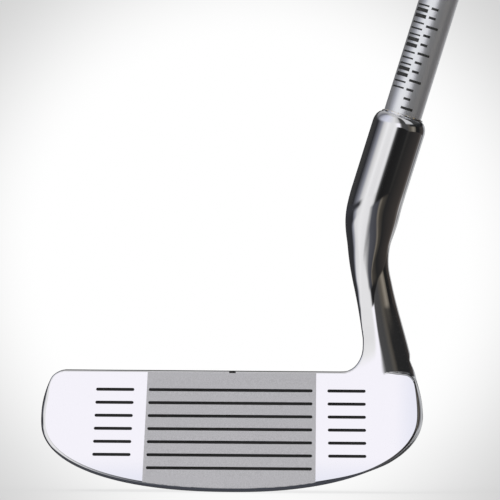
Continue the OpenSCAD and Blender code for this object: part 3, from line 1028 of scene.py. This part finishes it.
def build_grip():
    """The rubber sleeve and the cap in its butt."""
    sleeve = grip_mesh(*axis_span("grip"))
    add_piece("grip_sleeve", *sleeve, grip_rubber(), "grip_rubber", ["grip"], crease=50)
    cap = cap_mesh(*axis_span("grip_cap"))
    add_piece("butt_cap", *cap, cap_plastic(), "cap_plastic", ["grip_cap"], crease=40)


# ---------------------------------------------------------------- surroundings

# Tints of the studio
NEUTRAL = (1.0, 1.0, 1.0)
BLUE = (0.93, 0.96, 1.1)
TAN = (1.12, 1.0, 0.82)
BROWN = (1.15, 1.0, 0.9)
LAVENDER = (1.0, 0.985, 1.04)

# What polished metal mirrors, in four bands from the lowest to the highest.
# Each stop is degrees to the right of the way the camera looks, brightness and tint.
DEEP_ROOM = (
    (-180, 0.04, NEUTRAL), (-104, 0.03, BLUE), (-92, 0.3, BLUE), (-82, 0.7, NEUTRAL),
    (-48, 0.84, NEUTRAL), (-20, 0.78, NEUTRAL), (-13, 0.4, NEUTRAL), (-5, 0.09, BLUE),
    (14, 0.06, BLUE), (21, 0.16, TAN), (28, 0.06, TAN), (48, 0.02, NEUTRAL), (108, 0.04, BROWN),
    (124, 0.1, BROWN), (132, 0.5, NEUTRAL), (147, 0.48, NEUTRAL), (154, 0.05, NEUTRAL),
)
LOW_ROOM = (
    (-180, 0.04, NEUTRAL), (-95, 0.03, BLUE), (-82, 0.3, BLUE), (-68, 0.66, NEUTRAL),
    (-48, 0.84, NEUTRAL), (-30, 0.8, NEUTRAL), (-15, 0.78, NEUTRAL), (-8, 0.6, NEUTRAL),
    (-3, 0.1, NEUTRAL), (3, 0.02, NEUTRAL), (12, 0.013, NEUTRAL), (48, 0.018, NEUTRAL),
    (74, 0.028, BROWN), (86, 0.052, BROWN), (108, 0.062, BROWN), (124, 0.1, BROWN),
    (133, 0.42, NEUTRAL), (147, 0.42, NEUTRAL), (155, 0.05, NEUTRAL),
)
MID_ROOM = (
    (-180, 0.05, NEUTRAL), (-125, 0.04, NEUTRAL), (-106, 0.026, BLUE), (-91, 0.13, BLUE),
    (-77, 0.28, BLUE), (-65, 0.62, NEUTRAL), (-46, 0.86, NEUTRAL), (-34, 0.78, NEUTRAL),
    (-22, 0.77, NEUTRAL), (-12, 0.84, NEUTRAL), (-3, 0.97, LAVENDER), (6, 0.97, LAVENDER),
    (12, 0.25, NEUTRAL), (17, 0.07, NEUTRAL), (38, 0.06, NEUTRAL), (55, 0.1, TAN), (68, 0.24, TAN),
    (77, 0.16, TAN), (84, 0.012, NEUTRAL), (100, 0.016, NEUTRAL), (112, 0.04, BROWN),
    (136, 0.06, BROWN), (145, 0.3, NEUTRAL), (152, 0.55, NEUTRAL), (164, 0.5, NEUTRAL),
    (173, 0.05, NEUTRAL),
)
HIGH_ROOM = (
    (-180, 0.5, NEUTRAL), (-120, 0.16, BLUE), (-92, 0.5, BLUE), (-60, 0.72, BLUE),
    (-20, 0.75, NEUTRAL), (2, 0.5, NEUTRAL), (12, 0.06, NEUTRAL), (34, 0.05, NEUTRAL),
    (40, 0.62, NEUTRAL), (72, 0.62, NEUTRAL), (80, 0.05, NEUTRAL), (130, 0.06, NEUTRAL),
    (180, 0.5, NEUTRAL),
)


def vignette(tree):
    """Brightness of the backdrop: white in the middle of the frame, a light grey in its corners."""
    window = add_node(tree, "TexCoord").outputs["Window"]
    middle = (0.5, 0.5, 0.0)
    centred = add_node(tree, "VectorMath", {"operation": "SUBTRACT"}, i0=window, i1=middle).outputs[0]
    away = add_node(tree, "VectorMath", {"operation": "LENGTH"}, i0=centred).outputs["Value"]
    return ramp(tree, away, 0.42, 0.76, 1.0, 0.64)


def room_band(tree, azimuth, stops):
    """Colour of one band of the room from its stops."""
    part = calc(tree, "MULTIPLY_ADD", azimuth, 1 / 360, 0.5)
    made = add_node(tree, "ValToRGB", Fac=part)
    points = made.color_ramp.elements
    while len(points) < len(stops):
        points.new(0.5)
    for point, (angle, level, tint) in zip(points, stops):
        point.position = angle / 360 + 0.5
        point.color = grey(level, tint)
    return made.outputs["Color"]


def studio(tree):
    """Colour of the studio that metal mirrors. It is set up round the camera and turns with it."""
    turn = {"vector_type": "VECTOR", "convert_from": "WORLD", "convert_to": "CAMERA"}
    way = add_node(tree, "VectorTransform", turn, Vector=add_node(tree, "TexCoord").outputs["Generated"])
    x, y, z = add_node(tree, "SeparateXYZ", Vector=way.outputs[0]).outputs
    azimuth = calc(tree, "DEGREES", calc(tree, "ARCTAN2", x, calc(tree, "MULTIPLY", z, -1.0)))
    height = calc(tree, "DEGREES", calc(tree, "ARCSINE", y))
    front = ramp(tree, calc(tree, "ABSOLUTE", azimuth), 18.0, 60.0, 1.0, 0.0)
    edge = calc(tree, "MULTIPLY_ADD", front, 3.4, 0.2)
    edge = calc(tree, "ADD", edge, ramp(tree, azimuth, 0.0, 50.0, 0.0, -13.0))
    above = ramp(tree, calc(tree, "SUBTRACT", height, edge), -1.2, 2.2)
    room = blend(tree, above, room_band(tree, azimuth, LOW_ROOM), room_band(tree, azimuth, MID_ROOM))
    below = ramp(tree, height, -16.0, -10.0, 1.0, 0.0)
    room = blend(tree, below, room, room_band(tree, azimuth, DEEP_ROOM))
    gap = calc(tree, "MULTIPLY", ramp(tree, height, 4.0, 9.0, 1.0, 0.0), ramp(tree, height, -5.0, 3.0))
    gap = calc(tree, "MULTIPLY", gap, ramp(tree, azimuth, -72.0, -52.0, 1.0, 0.0))
    room = blend(tree, gap, room, grey(0.04, BLUE))
    shade = calc(tree, "MULTIPLY", ramp(tree, height, 9.0, 15.0), ramp(tree, azimuth, 45.0, 60.0))
    room = blend(tree, shade, room, grey(0.02))
    room = blend(tree, ramp(tree, height, 20.0, 32.0), room, room_band(tree, azimuth, HIGH_ROOM))
    room = blend(tree, ramp(tree, height, 62.0, 80.0), room, grey(0.55))
    return blend(tree, ramp(tree, height, -45.0, -34.0, 1.0, 0.0), room, grey(0.07, BLUE))


def surroundings():
    """Plain white to the camera and to dull surfaces, and the studio to polished metal."""
    world = bpy.data.worlds.new("studio")
    bpy.context.scene.world = world
    world.use_nodes = True
    tree = world.node_tree
    tree.nodes.clear()
    ray = add_node(tree, "LightPath").outputs
    backdrop = add_node(tree, "Background", Color=grey(1.0), Strength=vignette(tree)).outputs[0]
    seen = add_node(tree, "Background", Color=studio(tree), Strength=1.0).outputs[0]
    fill = add_node(tree, "Background", Color=grey(1.0), Strength=0.9).outputs[0]
    glossy = add_node(tree, "MixShader", Fac=ray["Is Glossy Ray"], i1=fill, i2=seen).outputs[0]
    surface = add_node(tree, "MixShader", Fac=ray["Is Camera Ray"], i1=glossy, i2=backdrop).outputs[0]
    tree.links.new(surface, tree.nodes.new("ShaderNodeOutputWorld").inputs["Surface"])


def floor_material():
    """Pale floor that fades into the backdrop."""
    material, tree, shader = new_material("pale_floor")
    tree.nodes.remove(shader)
    where = add_node(tree, "NewGeometry").outputs["Position"]
    away = add_node(tree, "VectorMath", {"operation": "LENGTH"}, i0=where).outputs["Value"]
    shaded = add_node(tree, "BsdfDiffuse", Color=calc(tree, "MULTIPLY", vignette(tree), 0.93)).outputs[0]
    backdrop = add_node(tree, "Emission", Color=grey(1.0), Strength=vignette(tree)).outputs[0]
    fade = ramp(tree, away, 0.25, 0.9, 0.85, 1.0)
    plain = add_node(tree, "MixShader", Fac=fade, i1=shaded, i2=backdrop).outputs[0]
    tree.links.new(plain, tree.nodes["Material Output"].inputs["Surface"])
    return material


def build_floor():
    """Large plain floor. Metal does not mirror it."""
    half, level = 40.0, -0.0002
    mesh = bpy.data.meshes.new("floor")
    corners = [(-half, -half, level), (half, -half, level), (half, half, level), (-half, half, level)]
    mesh.from_pydata(corners, [], [(0, 1, 2, 3)])
    mesh.materials.append(floor_material())
    floor = bpy.data.objects.new("floor", mesh)
    floor.visible_glossy = False
    bpy.context.scene.collection.objects.link(floor)


def add_area_light(name, position, target, size, power):
    """A large soft lamp that metal does not mirror."""
    light = bpy.data.lights.new(name, "AREA")
    light.energy = power
    light.size = size
    lamp = bpy.data.objects.new(name, light)
    lamp.location = position
    lamp.rotation_euler = (Vector(target) - Vector(position)).to_track_quat("-Z", "Y").to_euler()
    lamp.visible_glossy = False
    bpy.context.scene.collection.objects.link(lamp)


# Camera in mm, and the width of what it sees in the plane y = 0
CAMERA_AT = (4.07, -2400.0, 59.3)
FRAME_WIDTH = 122.5
CAMERA_ROLL = math.radians(-0.45)


def build_camera():
    """Level camera square to the face, far enough back that the club looks nearly flat."""
    data = bpy.data.cameras.new("camera")
    data.sensor_width = 36.0
    data.lens = data.sensor_width * -CAMERA_AT[1] / FRAME_WIDTH
    data.clip_start, data.clip_end = 0.01, 200.0
    camera = bpy.data.objects.new("camera", data)
    camera.location = [v * MM for v in CAMERA_AT]
    camera.rotation_euler = (math.pi / 2, CAMERA_ROLL, 0)
    bpy.context.scene.collection.objects.link(camera)
    bpy.context.scene.camera = camera


build_head()
build_shaft()
build_grip()
surroundings()
build_floor()
add_area_light("key", position=(-1.2, -1.4, 1.9), target=(0.1, 0.0, 0.4), size=1.6, power=26)
build_camera()
bpy.context.scene.view_settings.view_transform = "Standard"
